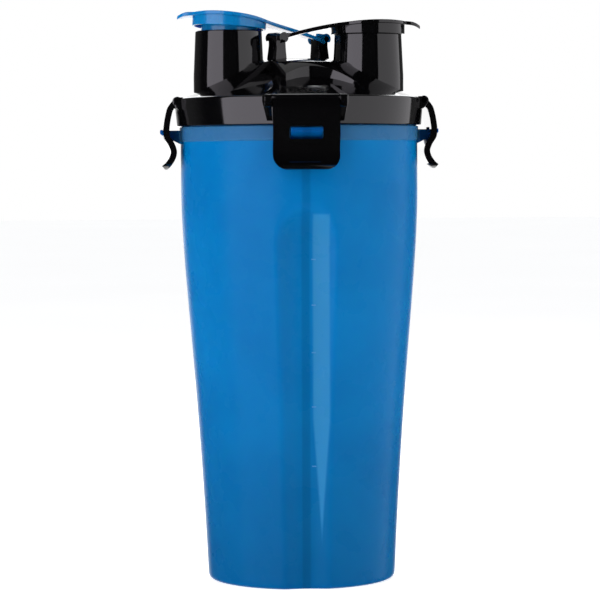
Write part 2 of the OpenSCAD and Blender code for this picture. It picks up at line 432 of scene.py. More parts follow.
class Wiring:
    """A tree of shader nodes, wired by short calls."""

    def __init__(self, tree: bpy.types.NodeTree) -> None:
        """Takes the tree that the calls add to."""
        self.tree = tree

    def add(self, kind: str, **values: object) -> bpy.types.Node:
        """Adds a node and sets its properties or its sockets' values.

        Args:
            kind: The node's type without its prefix.
            **values: Properties by name, or input sockets' values by name with spaces as underscores.

        Returns:
            The new node.
        """
        node = self.tree.nodes.new("ShaderNode" + kind)
        for key, value in values.items():
            if hasattr(node, key):
                setattr(node, key, value)
            else:
                node.inputs[key.replace("_", " ")].default_value = value
        return node

    def join(self, start: Socket, end: Socket) -> None:
        """Links one socket to another."""
        self.tree.links.new(start, end)

    def parts(self, place: Socket) -> Sequence[Socket]:
        """Splits a place into its x, y and z."""
        split = self.add("SeparateXYZ")
        self.join(place, split.inputs["Vector"])
        return split.outputs

    def sums(self, operation: str, *values: Socket | float) -> Socket:
        """Adds one sum.

        Args:
            operation: The kind of sum.
            *values: What goes in, as sockets or numbers.

        Returns:
            The result.
        """
        node = self.add("Math", operation=operation)
        for slot, value in zip(node.inputs, values):
            if isinstance(value, float):
                slot.default_value = value
            else:
                self.join(value, slot)
        return node.outputs[0]

    def ramp(self, value: Socket, start: float, end: float, low: float = 0.0, high: float = 1.0) -> Socket:
        """Eases from one number to another while a value goes from start to end.

        Args:
            value: The value.
            start: Where the easing starts, above or below its end.
            end: Where it ends.
            low: The result before the start.
            high: The result past the end.

        Returns:
            The eased number.
        """
        if start > end:
            start, end, low, high = end, start, high, low
        node = self.add("MapRange", interpolation_type="SMOOTHSTEP",
                        From_Min=start, From_Max=end, To_Min=low, To_Max=high)
        self.join(value, node.inputs["Value"])
        return node.outputs["Result"]


class Nodes(Wiring):
    """A material's nodes."""

    def __init__(self, name: str) -> None:
        """Starts a material with one plastic shader."""
        self.material = bpy.data.materials.new(name)
        self.material.use_nodes = True
        super().__init__(self.material.node_tree)
        self.shader = self.tree.nodes["Principled BSDF"]
        self.where = self.add("TexCoord").outputs["Object"]

    def noise(self, scale: float, detail: float) -> Socket:
        """Adds a noise pattern on the piece.

        Args:
            scale: How fine the pattern is, per metre.
            detail: How many finer layers it has.

        Returns:
            The pattern's value.
        """
        node = self.add("TexNoise", Scale=scale, Detail=detail)
        self.join(self.where, node.inputs["Vector"])
        return node.outputs["Fac"]

    def spread(self, value: Socket, low: float, high: float) -> Socket:
        """Maps a pattern's middle range onto a range of values.

        Args:
            value: The pattern.
            low: The value where the pattern is low.
            high: The value where it is high.

        Returns:
            The mapped value.
        """
        node = self.add("MapRange", From_Min=0.3, From_Max=0.7, To_Min=low, To_Max=high)
        self.join(value, node.inputs["Value"])
        return node.outputs["Result"]

    def bump(self, height: Socket, depth: float, strength: float) -> None:
        """Raises the surface by a pattern.

        Args:
            height: The pattern.
            depth: The relief's depth in millimetres.
            strength: How strongly it shows.
        """
        node = self.add("Bump", Strength=strength, Distance=depth * MM)
        self.join(height, node.inputs["Height"])
        self.join(node.outputs["Normal"], self.shader.inputs["Normal"])

    def tint(self, value: Socket, dark: Sequence[float], light: Sequence[float]) -> None:
        """Colours the surface between two colours by a pattern.

        Args:
            value: The pattern.
            dark: The colour where the pattern is low.
            light: The colour where it is high.
        """
        ramp = self.add("ValToRGB")
        ramp.color_ramp.elements[0].position = 0.3
        ramp.color_ramp.elements[1].position = 0.7
        ramp.color_ramp.elements[0].color = (*dark, 1)
        ramp.color_ramp.elements[1].color = (*light, 1)
        self.join(value, ramp.inputs["Fac"])
        self.join(ramp.outputs["Color"], self.shader.inputs["Base Color"])


@dataclass(frozen=True)
class Moulded:
    """A moulded plastic or rubber: mottled a little, with a faint skin and an uneven gloss."""

    name: str
    slot: str
    dark: tuple[float, float, float]
    light: tuple[float, float, float]
    gloss: tuple[float, float]
    grain: float = 900.0
    relief: float = 0.02
    relief_shows: float = 0.05
    specular: float = 0.5
    glow: float = 0.0
    glow_reach: tuple[float, float, float] = (1.0, 1.0, 1.0)

    def wired(self) -> Nodes:
        """Makes the material's nodes.

        Returns:
            The nodes, with their material.
        """
        nodes = Nodes(self.name)
        nodes.tint(nodes.noise(28, 4), self.dark, self.light)
        nodes.join(nodes.spread(nodes.noise(60, 5), *self.gloss), nodes.shader.inputs["Roughness"])
        nodes.bump(nodes.noise(self.grain, 2), self.relief, self.relief_shows)
        nodes.shader.inputs["Specular IOR Level"].default_value = self.specular
        nodes.shader.inputs["IOR"].default_value = 1.49
        if self.glow:
            nodes.shader.inputs["Subsurface Weight"].default_value = self.glow
            nodes.shader.inputs["Subsurface Radius"].default_value = self.glow_reach
            nodes.shader.inputs["Subsurface Scale"].default_value = 0.01
        return nodes


@dataclass(frozen=True)
class CupPlastic(Moulded):
    """The cup's plastic: deeper towards the base, paler at the collar, darker where the divider shows through, with
    painted shade on the lugs and a painted reflection on each groove's right flank.
    """

    deep_z: float = 0.110
    base_tone: float = 0.72
    pale: tuple[float, float, float] = (0.022, 0.105, 0.225)
    # The next colour and radius paint shade on the lugs, which sit recessed in the latch slots, from that radius
    # outwards.
    lug_shadow_tone: tuple[float, float, float] = (0.0, 0.050, 0.170)
    lug_shadow_start: float = 0.0532
    collar_z: float = 0.1935
    divider_half: float = 0.0012
    divider_tone: float = 0.80
    # The next fields place a painted reflection: a pale streak on each groove's right flank, painted where a soft
    # light would shine.
    reflection_x: float = 0.0066
    reflection_low: float = 0.024
    reflection_top: float = 0.162
    reflection_half: float = 0.0035
    reflection_spread: float = 0.07
    reflection_soft: float = 0.0006
    reflection_tone: tuple[float, float, float] = (0.018, 0.170, 0.360)

    def painted_reflection(self, nodes: Nodes, place: Sequence[Socket]) -> Socket:
        """Works out a painted reflection: a pale streak on the right flank of each groove, painted where a soft light
        would shine, wide at the top and pointed at the bottom.

        Args:
            nodes: The material's nodes.
            place: A place's x, y and z.

        Returns:
            How far a place is outside the streak, in metres.
        """
        x, y, z = place
        across = nodes.sums("MULTIPLY", nodes.sums("MULTIPLY", x, nodes.sums("SIGN", y)), -1.0)
        off = nodes.sums("ABSOLUTE", nodes.sums("SUBTRACT", across, self.reflection_x))
        taper = nodes.sums("MULTIPLY", nodes.sums("SUBTRACT", z, self.reflection_low), self.reflection_spread)
        off = nodes.sums("SUBTRACT", off, nodes.sums("MINIMUM", taper, self.reflection_half))
        return nodes.sums("MAXIMUM", off, nodes.sums("SUBTRACT", z, self.reflection_top))

    def wired(self) -> Nodes:
        """Makes the material's nodes.

        Returns:
            The nodes, with their material.
        """
        nodes = super().wired()
        colour = nodes.shader.inputs["Base Color"].links[0].from_socket
        x, y, z = nodes.parts(nodes.where)
        radius = nodes.sums("SQRT", nodes.sums("ADD", nodes.sums("MULTIPLY", x, x), nodes.sums("MULTIPLY", y, y)))
        half, soft = self.divider_half, self.reflection_soft
        steps = (
            ("MULTIPLY", z, self.deep_z, 0.0, (self.base_tone,) * 3),
            ("MIX", z, self.collar_z - 0.0004, self.collar_z, self.pale),
            # painted shade on the lugs in their slots
            ("MIX", radius, self.lug_shadow_start, self.lug_shadow_start + 0.0005, self.lug_shadow_tone),
            ("MULTIPLY", nodes.sums("ABSOLUTE", x), 2 * half, half, (self.divider_tone,) * 3),
            # painted reflection on each groove's right flank
            ("MIX", self.painted_reflection(nodes, (x, y, z)), soft, -soft, self.reflection_tone))
        for blend, value, start, end, tone in steps:
            mix = nodes.add("MixRGB", blend_type=blend, Color2=(*tone, 1))
            nodes.join(nodes.ramp(value, start, end), mix.inputs["Fac"])
            nodes.join(colour, mix.inputs["Color1"])
            colour = mix.outputs["Color"]
        nodes.join(colour, nodes.shader.inputs["Base Color"])
        return nodes


CUP_BLUE = CupPlastic("cup_blue", "cup_blue", (0.0, 0.112, 0.306), (0.0, 0.134, 0.346), (0.24, 0.32),
                      grain=300, relief=0.05, relief_shows=0.03, specular=0.05, glow=0.35,
                      glow_reach=(0.1, 0.4, 1.0))
MARK_BLUE = Moulded("mark_blue", "cup_blue", (0.03, 0.16, 0.36), (0.05, 0.19, 0.40), (0.4, 0.5), specular=0.2)
CAP_BLUE = Moulded("cap_blue", "blue_gloss", (0.0, 0.130, 0.32), (0.0, 0.150, 0.36), (0.14, 0.22),
                   grain=500, specular=0.4, glow=0.2, glow_reach=(0.1, 0.4, 1.0))
GLOSS_BLACK = Moulded("gloss_black", "black_gloss", (0.0010, 0.0010, 0.0012), (0.0018, 0.0018, 0.0020), (0.05, 0.10),
                      grain=420, relief=0.03, relief_shows=0.04, specular=0.5)
SOFT_SEAL = Moulded("soft_seal", "silicone", (0.50, 0.52, 0.55), (0.58, 0.60, 0.62), (0.42, 0.55),
                    grain=1500, relief=0.03, relief_shows=0.2, glow=0.3)
GRID_BLACK = Moulded("grid_black", "grid_black", (0.015, 0.015, 0.017), (0.025, 0.025, 0.027), (0.40, 0.52),
                     grain=2200, relief=0.05, relief_shows=0.3)


class Shelf:
    """Keeps each finish made once."""

    def __init__(self) -> None:
        """Starts with no finish made."""
        self.made: dict[str, bpy.types.Material] = {}

    def dress(self, solid: Solid, finish: Moulded, body: str, nodes: Iterable[str] = ()) -> Solid:
        """Gives a finished piece its material, its body and the nodes that it stands for.

        Args:
            solid: The piece.
            finish: Its finish.
            body: The body that it moves with.
            nodes: The nodes that it stands for.

        Returns:
            The same piece.
        """
        self.coat(solid, finish)
        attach(solid, body)
        for node in nodes:
            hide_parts(node)
        LOG.info("piece %s: body %s, finish %s, %d faces", solid.name, body, finish.name, len(solid.data.polygons))
        return solid

    def coat(self, solid: Solid, finish: Moulded) -> None:
        """Gives a solid a material and nothing else."""
        if finish.name not in self.made:
            self.made[finish.name] = finish.wired().material
        solid.data.materials.clear()
        solid.data.materials.append(self.made[finish.name])


# ---------------------------------------------------------------- the cup


@dataclass
class Cup:
    """The two-chamber cup: wall, floor, divider, grooves, collar, lugs and level marks."""

    base_r: float = 41.4
    body_r: float = 52.25
    wall: float = 2.0
    floor: float = 3.4
    straight_z: float = 175.0
    collar_z: float = 193.3
    collar_r: float = 52.7
    neck_z: float = 199.8
    neck_r: float = 51.6
    rim_z: float = 205.0
    divider_z: float = 203.5
    groove_r: float = 16.5
    groove_low: float = 3.5
    groove_high: float = 8.0
    groove_top: float = 150.0
    lip: float = 2.2
    foot_keep: float = 35.2
    floor_keep: float = 32.0
    steps: int = 320
    mark_x: float = 3.4
    marks: tuple[float, ...] = (142.6, 123.0, 102.6, 79.2, 53.5)

    def side(self, height: float) -> float:
        """Works out how wide the wall is, from the curve that the side follows.

        Args:
            height: The height in millimetres.

        Returns:
            The outer radius.
        """
        low, high = 0.0, 1.0
        heights = (3.0, 105.0, 135.0, self.straight_z)
        radii = (self.base_r, self.base_r + 4.8, self.body_r, self.body_r)
        if height >= self.straight_z:
            return self.body_r
        for _ in range(30):
            t = (low + high) / 2
            z = sum(w * v for w, v in zip(self.weights(t), heights))
            low, high = (t, high) if z < height else (low, t)
        return sum(w * v for w, v in zip(self.weights(low), radii))

    @staticmethod
    def weights(t: float) -> tuple[float, float, float, float]:
        """Returns the weights of a curve's four control points."""
        return ((1 - t) ** 3, 3 * t * (1 - t) ** 2, 3 * t * t * (1 - t), t**3)

    def groove_far(self, height: float) -> float:
        """Works out how far out the middle of the groove's round lies.

        Args:
            height: The height in millimetres.

        Returns:
            The distance from the bottle's axis.
        """
        low = self.base_r - self.groove_low + self.groove_r
        high = self.body_r - self.groove_high + self.groove_r
        return low + (high - low) * min(height / self.groove_top, 1.0)

    def groove_face(self, angle: float, height: float, extra: float) -> float:
        """Works out how far out the groove's face lies.

        Args:
            angle: The angle from the groove's middle, in radians.
            height: The height in millimetres.
            extra: How much wider the groove's own radius is taken.

        Returns:
            The distance from the bottle's axis, or a large number beside the groove.
        """
        beside = 1e3
        radius = self.groove_r + extra
        far = self.groove_far(height)
        if height > self.groove_top:
            rest = radius**2 - (height - self.groove_top) ** 2
            if rest <= 0:
                return beside
            radius = math.sqrt(rest)
        inside = radius**2 - (far * math.sin(angle)) ** 2
        if inside <= 0 or math.cos(angle) <= 0:
            return beside
        return far * math.cos(angle) - math.sqrt(inside)

    def limit(self, aside: float, height: float, plain: float, extra: float) -> float:
        """Works out how far out the wall reaches once the grooves are pressed in, with a rounded lip.

        Args:
            aside: The angle from a groove's middle, in radians.
            height: The height in millimetres.
            plain: The wall's radius there without a groove.
            extra: How much wider the groove is taken.

        Returns:
            The wall's radius.
        """
        face = self.groove_face(aside, height, extra)
        blend = max(self.lip - abs(face - plain), 0.0) / self.lip
        return min(face, plain) - blend * blend * self.lip / 4

    def pressed(self, point: Vector) -> Vector:
        """Presses the grooves into a point of the wall, inside or outside, and leaves the middle of the floor.

        Args:
            point: The point.

        Returns:
            The pressed point.
        """
        radius = math.hypot(point.x, point.y)
        plain = self.side(min(max(point.z, 3.0), self.straight_z))
        aside = math.atan2(abs(point.x), abs(point.y))
        keep, extra = self.foot_keep, 0.0
        if point.z > self.floor - 0.2 and radius < plain - 0.6 * self.wall:
            keep, extra = self.floor_keep, self.wall
        if radius <= keep:
            return point
        plain -= extra
        new = keep + (radius - keep) * (self.limit(aside, point.z, plain, extra) - keep) / (plain - keep)
        return Vector((point.x * new / radius, point.y * new / radius, point.z))

    def outline(self) -> list[Point]:
        """Draws the whole outline, from under the base round the wall and back to the floor's middle.

        Returns:
            Radius and height of each ring.
        """
        rise = [self.floor + 2.6 + i * 3.0 for i in range(int((self.collar_z - self.floor - 4) / 3))]
        outer = [(self.side(z), z) for z in rise]
        foot = rounded([(0.4, 1.0), (33.6, 1.0), (35.0, 0.0), (self.base_r - 0.2, 0.0), (self.side(6), 6.0)], 2.6, 5)
        collar = rounded([
            (self.body_r, self.collar_z - 1.2), (self.body_r, self.collar_z), (self.collar_r, self.collar_z + 0.45),
            (self.collar_r, self.neck_z), (self.neck_r, self.neck_z), (self.neck_r, self.rim_z),
            (self.neck_r - self.wall, self.rim_z), (self.neck_r - self.wall, self.collar_z)], 0.45, 3)
        inner = [(r - self.wall, z) for r, z in reversed(outer)]
        base = rounded([inner[-1], (self.side(3.5) - self.wall, self.floor), (0.4, self.floor)], 3.0, 4)
        return [*foot, *outer[1:], *collar, *inner, *base[1:]]

    def lug(self) -> Solid:
        """Makes one hooked lug on the right side.

        Returns:
            The lug.
        """
        outline = [(51.2, 192.0), (52.4, 192.4), (60.6, 196.4), (61.3, 197.0), (61.3, 198.6), (60.4, 198.7),
                   (59.9, 198.3), (51.2, 198.3)]
        return Bench.soften(Bench.slab("lug", outline, 13.4), 0.35, 3)

    def divider(self) -> Solid:
        """Makes the upright wall between the chambers, with its ends inside the cup's wall.

        Returns:
            The divider.
        """
        half = [(37.0, 2.4), (43.1, 148.0), (45.0, 158.0), (49.8, 165.0), (51.2, 172.0), (51.2, 192.0),
                (50.6, 194.0), (50.6, self.divider_z)]
        outline = half + [(-y, z) for y, z in reversed(half)]
        return Bench.move(Bench.slab("divider", outline, 2.0), about_z(90))

    def level_marks(self) -> Solid:
        """Makes the short level marks on the right flank of the front groove.

        Returns:
            All the marks as one solid.
        """
        aside = self.mark_x
        turn = math.degrees(math.asin(aside / self.groove_r))
        marks = []
        for height in self.marks:
            face = self.groove_far(height) - math.sqrt(self.groove_r**2 - aside**2)
            place = shift(aside, -face, height) @ about_z(-turn)
            marks.append(Bench.move(Bench.block((-0.9, -0.06, -0.22), (0.9, 0.3, 0.22), "level_marks"), place))
        Bench.take(marks[0])
        for mark in marks:
            mark.select_set(True)
        bpy.ops.object.join()
        return marks[0]

    def build(self, shelf: Shelf) -> None:
        """Builds the cup and its level marks.

        Args:
            shelf: Where the finishes are.
        """
        cup = Bench.shape(Bench.turned("cup", self.outline(), self.steps), self.pressed)
        Bench.cut(cup, self.divider(), Cut.JOIN)
        for side in Side:
            Bench.cut(cup, Bench.move(self.lug(), about_z(side.value)), Cut.JOIN)
        Bench.polish(cup, 40)
        shelf.dress(cup, CUP_BLUE, "root", ["cup_body"])
        shelf.dress(self.level_marks(), MARK_BLUE, "root")


# ---------------------------------------------------------------- the lid


@dataclass
class Lid:
    """The snap-on lid: skirt, scooped roof, raised middle, two spouts, two posts and the latch ears."""

    skirt_z: float = 200.1
    skirt_r: float = 54.0
    shoulder_r: float = 54.9
    edge_r: float = 54.2
    edge_z: float = 212.5
    slope: float = 0.31
    hub_slope: float = 0.55
    crown_r: float = 23.0
    crown_z: float = 227.7
    crown_top: float = 230.5
    land_z: float = 206.6
    ring_out: float = 49.2
    ring_in: float = 47.4
    ring_z: float = 200.6
    skirt_in: float = 51.95
    roof_t: float = 2.3
    spout_x: float = 30.8
    spout_top: float = 14.8
    spout_foot: float = 15.7
    bore: float = 13.0
    mouth_z: float = 242.0
    post_half: float = 2.3
    post_w: float = 6.6
    ear_w: float = 3.0
    ear_y: float = 16.0
    pocket_r: float = 2.9
    pocket_w: float = 29.0
    steps: int = 144

    def roof_z(self, radius: float) -> float:
        """Returns the scooped roof's height at a radius."""
        return self.edge_z + (self.edge_r - radius) * self.slope

    def roof(self) -> Solid:
        """Makes the lid without its raised middle, hollow below.

        Returns:
            The roof and skirt.
        """
        inner = self.roof_z(self.ring_in) - self.roof_t
        outline = [
            (0.5, self.roof_z(0.5) - self.roof_t), (self.ring_in, inner), (self.ring_in, self.ring_z),
            (self.ring_out, self.ring_z), (self.ring_out, self.land_z), (self.skirt_in, self.land_z),
            (self.skirt_in, self.skirt_z), (self.skirt_r, self.skirt_z), (self.shoulder_r, 211.3),
            (self.shoulder_r - 0.1, 212.0), (self.edge_r, self.edge_z), (0.5, self.roof_z(0.5))]
        return Bench.turned("lid", rounded(outline, 0.55, 3), self.steps)

    def scoop(self) -> Solid:
        """Makes the cutter for the front scoop: a wide bay and a notch that reaches the post.

        Returns:
            The cutter.
        """
        bay = arc((8, -46.5), 20.5, 133.5, 0, 36)
        line = [(8, -64), (-31, -64), (-31, -36), (-13, -13.4), (-7.2, -32.0), *bay[1:], (36, -64)]
        return Bench.raised("scoop", [(x, y, self.land_z - 1) for x, y in line], (0, 0, 40))

    def hub(self) -> Solid:
        """Makes the raised middle part with its scoops and softened edges.

        Returns:
            The raised middle.
        """
        foot = 48.0
        crown = [(r, self.crown_top - (self.crown_top - self.crown_z) * (r / self.crown_r) ** 2)
                 for r in (0.5, 4, 8, 12, 16, 19.5)]
        side = rounded([crown[-1], (self.crown_r, self.crown_z),
                        (foot, self.crown_z - self.hub_slope * (foot - self.crown_r))], 3.0, 6)
        outline = [(0.5, self.roof_z(0.5) - 1.0), (foot, self.roof_z(foot) - 1.0), *reversed(side),
                   *reversed(crown[:-1])]
        hub = Bench.turned("hub", outline, self.steps)
        for turn in (0, 180):
            Bench.cut(hub, Bench.move(self.scoop(), about_z(turn)), Cut.AWAY)
        return Bench.soften(hub, 0.8, 4, 25)

    def spout(self) -> Solid:
        """Makes one spout, still solid, over the right opening.

        Returns:
            The spout.
        """
        outline = rounded([(0.5, 212.0), (self.spout_foot, 212.0), (self.spout_foot, 222.0),
                           (self.spout_top, self.mouth_z), (0.5, self.mouth_z)], 0.7, 4)
        return Bench.move(Bench.turned("spout", outline, 96), shift(self.spout_x, 0, 0))

    def post(self, hinge: Matrix) -> Solid:
        """Makes one hinge post.

        Args:
            hinge: The right cap's hinge.

        Returns:
            The post.
        """
        half = self.post_half
        post = Bench.slab("post", [(-half, -3.6), (half, -3.6), (half, 0.0), *arc((0, 0), half, 10, 170, 12),
                                   (-half, 0.0)], self.post_w)
        foot = Bench.block((-half, -self.post_w / 2, -19.6), (half, self.post_w / 2, -3.4))
        Bench.shape(foot, lambda p: p if p.z > -10 else Vector(
            (-4.6 if p.x < 0 else 3.2, -4.8 if p.y < 0 else 3.6, p.z)))
        Bench.cut(post, foot, Cut.JOIN)
        return Bench.move(Bench.soften(post, 0.45, 3, 30), hinge)

    def ears(self) -> Solid:
        """Makes the two ears that hold the right latch's pin.

        Returns:
            Both ears as one solid.
        """
        ears = None
        for sign in (-1, 1):
            outline = [(48.5, 207.2), (53.4, 207.2), (54.9, 208.6), *arc(LATCH_PIN, LATCH_BARREL, -60, 120, 14),
                       (48.5, 212.6)]
            ear = Bench.slab("ear", outline, self.ear_w)
            Bench.move(Bench.soften(ear, 0.3, 2, 40), shift(0, sign * self.ear_y, 0))
            ears = ear if ears is None else Bench.cut(ears, ear, Cut.JOIN)
        return ears

    def build(self, shelf: Shelf, hinge: Matrix) -> None:
        """Builds the lid.

        Args:
            shelf: Where the finishes are.
            hinge: The right cap's hinge.
        """
        lid = self.roof()
        Bench.cut(lid, self.hub(), Cut.JOIN)
        for turn in (0, 180):
            Bench.cut(lid, Bench.move(self.spout(), about_z(turn)), Cut.JOIN)
            Bench.cut(lid, Bench.move(self.post(hinge), about_z(turn)), Cut.JOIN)
            Bench.cut(lid, Bench.move(self.neck_cutter(), about_z(turn)), Cut.AWAY)
        for side in Side:
            Bench.cut(lid, Bench.move(self.ears(), about_z(side.value)), Cut.JOIN)
            pocket = Bench.move(Bench.rod(self.pocket_r, self.pocket_w, 48), shift(LATCH_PIN[0], 0, LATCH_PIN[1]))
            Bench.cut(lid, Bench.move(pocket, about_z(side.value)), Cut.AWAY)
        gap = Bench.block((-1.3, -60, self.ring_z - 2), (1.3, 60, 205.0))
        Bench.cut(lid, gap, Cut.AWAY)
        rib = Bench.block((-1.5, -47.0, 205.1), (1.5, 47.0, 213.5))
        Bench.cut(lid, rib, Cut.JOIN)
        Bench.polish(lid, 32)
        shelf.dress(lid, GLOSS_BLACK, "root", ["lid_shell", "spout_right", "spout_left"])

    def neck_cutter(self) -> Solid:
        """Makes the cutter for a spout's bore, which widens a little at the mouth.

        Returns:
            The cutter.
        """
        outline = [(self.bore, 205.0), (self.bore, self.mouth_z - 0.8), (self.bore + 0.15, self.mouth_z - 0.3),
                   (self.bore + 0.7, self.mouth_z + 0.3), (self.bore + 0.7, self.mouth_z + 2)]
        return Bench.move(Bench.turned("neck", outline, 96), shift(self.spout_x, 0, 0))


# ---------------------------------------------------------------- flip caps


@dataclass
class FlipCap:
    """A flip cap drawn closed over the right spout: arched plate, collar, plug, arm, hooks and thumb tab."""

    spout_x: float = 30.8
    disc_r: float = 17.3
    plate_t: float = 1.6
    arch_r: float = 147.0
    arch_x: float = 37.0
    arch_top: float = 246.2
    collar_out: float = 16.35
    collar_in: float = 15.15
    collar_low: float = 240.2
    plug_r: float = 12.2
    plug_in: float = 10.4
    plug_low: float = 234.5
    hook_r: float = 2.3
    hook_w: float = 2.2
    hook_mid: float = 4.65
    pin_r: float = 1.25

    def arched(self, x: float) -> float:
        """Works out the plate's arch.

        Args:
            x: The place along the bottle's width, in millimetres.

        Returns:
            The height of the plate's top.
        """
        drop = (x - self.arch_x) ** 2 / (2 * self.arch_r)
        tip = max(0.0, x - 49.0)
        return self.arch_top - drop - 0.055 * tip * tip

    def plan(self, hinge: Matrix) -> list[Point]:
        """Works out the plate's outline from above.

        Args:
            hinge: The right cap's hinge.

        Returns:
            The outline's points, anticlockwise from the arm's front corner.
        """
        half = self.hook_mid + self.hook_w / 2
        front = hinge @ (Vector((2.6, -half, 0)) * MM) / MM
        back = hinge @ (Vector((2.6, half, 0)) * MM) / MM
        centre = (self.spout_x, 0.0)
        near = arc(centre, self.disc_r, -122, -24, 30)
        tab = eased([(47.4, -6.0), (51.0, -5.2), (53.4, -2.6), (53.9, 0.0), (53.4, 2.6), (51.0, 5.2), (47.4, 6.0)], 6)
        far_side = arc(centre, self.disc_r, 24, 158, 36)
        front_edge = eased([(front.x, front.y), (4.0, -12.9), (13.0, -14.0), near[0]], 8)
        back_edge = eased([far_side[-1], (11.4, 2.0), (6.0, -1.4), (-2.0, -2.3), (back.x, back.y)], 8)
        return [*front_edge[:-1], *near, *tab, *far_side, *back_edge[1:]]

    def plate(self, hinge: Matrix) -> Solid:
        """Makes the arched plate with rounded edges.

        Args:
            hinge: The right cap's hinge.

        Returns:
            The plate.
        """
        solid = Bench.raised("plate", [(x, y, 0) for x, y in self.plan(hinge)], (0, 0, -self.plate_t))
        Bench.soften(solid, 0.7, 4, 50)
        bpy.ops.object.mode_set(mode="EDIT")
        left, right, pitch = -12.0, 54.0, 2.0
        for i in range(1, int((right - left) / pitch)):
            bpy.ops.mesh.select_all(action="SELECT")
            bpy.ops.mesh.bisect(plane_co=((left + i * pitch) * MM, 0, 0), plane_no=(1, 0, 0))
        bpy.ops.object.mode_set(mode="OBJECT")
        return Bench.shape(solid, lambda p: Vector((p.x, p.y, p.z + self.arched(p.x))))

    def cup_ring(self, outer: float, inner: float, low: float, edge: float) -> Solid:
        """Makes a ring under the plate, with its top trimmed to the plate's arch.

        Args:
            outer: Outer radius.
            inner: Inner radius.
            low: Height of the lower edge.
            edge: Size of the lower edge's rounding.

        Returns:
            The ring.
        """
        high = 243.0
        outline = [(outer, high), *rounded([(outer, high - 0.5), (outer, low), (inner, low), (inner, high - 0.5)],
                                           edge, 3), (inner, high), (outer, high)]
        ring = Bench.turned("ring", outline, 96, closed=True)
        Bench.move(ring, shift(self.spout_x, 0, 0))
        return Bench.shape(ring, lambda p: Vector(
            (p.x, p.y, self.arched(min(p.x, 47.2)) - self.plate_t / 2 if p.z > high - 0.01 else p.z)))

    def hook(self, hinge: Matrix, side: int) -> Solid:
        """Makes one hook that grips the pin, with its open jaw below.

        Args:
            hinge: The right cap's hinge.
            side: -1 for the front hook, 1 for the back one.

        Returns:
            The hook.
        """
        outer = arc((0, 0), self.hook_r, -75, 215, 30)
        inner = arc((0, 0), self.pin_r + 0.05, 215, -75, 24)
        hook = Bench.slab("hook", [*outer, *inner], self.hook_w)
        arm = Bench.block((0.6, -self.hook_w / 2, 0.7), (4.2, self.hook_w / 2, 1.9), "arm")
        bore = Bench.rod(self.pin_r + 0.05, 8, 32)
        Bench.cut(arm, bore, Cut.AWAY)
        Bench.cut(hook, arm, Cut.JOIN)
        Bench.soften(hook, 0.25, 2, 50)
        return Bench.move(hook, hinge @ shift(0, side * self.hook_mid, 0))

    def shell(self, hinge: Matrix) -> Solid:
        """Makes the whole cap, closed.

        Args:
            hinge: The right cap's hinge.

        Returns:
            The cap.
        """
        cap = self.plate(hinge)
        rings = ((self.collar_out, self.collar_in, self.collar_low, 0.35),
                 (self.plug_r, self.plug_in, self.plug_low, 0.5))
        for outer, inner, low, edge in rings:
            Bench.cut(cap, self.cup_ring(outer, inner, low, edge), Cut.JOIN)
        for side in (-1, 1):
            Bench.cut(cap, self.hook(hinge, side), Cut.JOIN)
        return Bench.polish(cap, 35)

    def build(self, shelf: Shelf, hinge: Matrix, ajar: Matrix) -> None:
        """Builds both caps.

        Args:
            shelf: Where the finishes are.
            hinge: The right cap's hinge.
            ajar: From the closed right cap's place to the left cap's place, ajar.
        """
        right = self.shell(hinge)
        right.name = "flip_cap_right"
        left = Bench.copy(right, "flip_cap_left", ajar)
        shelf.dress(right, GLOSS_BLACK, "cap_right", ["cap_right"])
        shelf.dress(left, CAP_BLUE, "cap_left", ["cap_left"])


# ---------------------------------------------------------------- latches


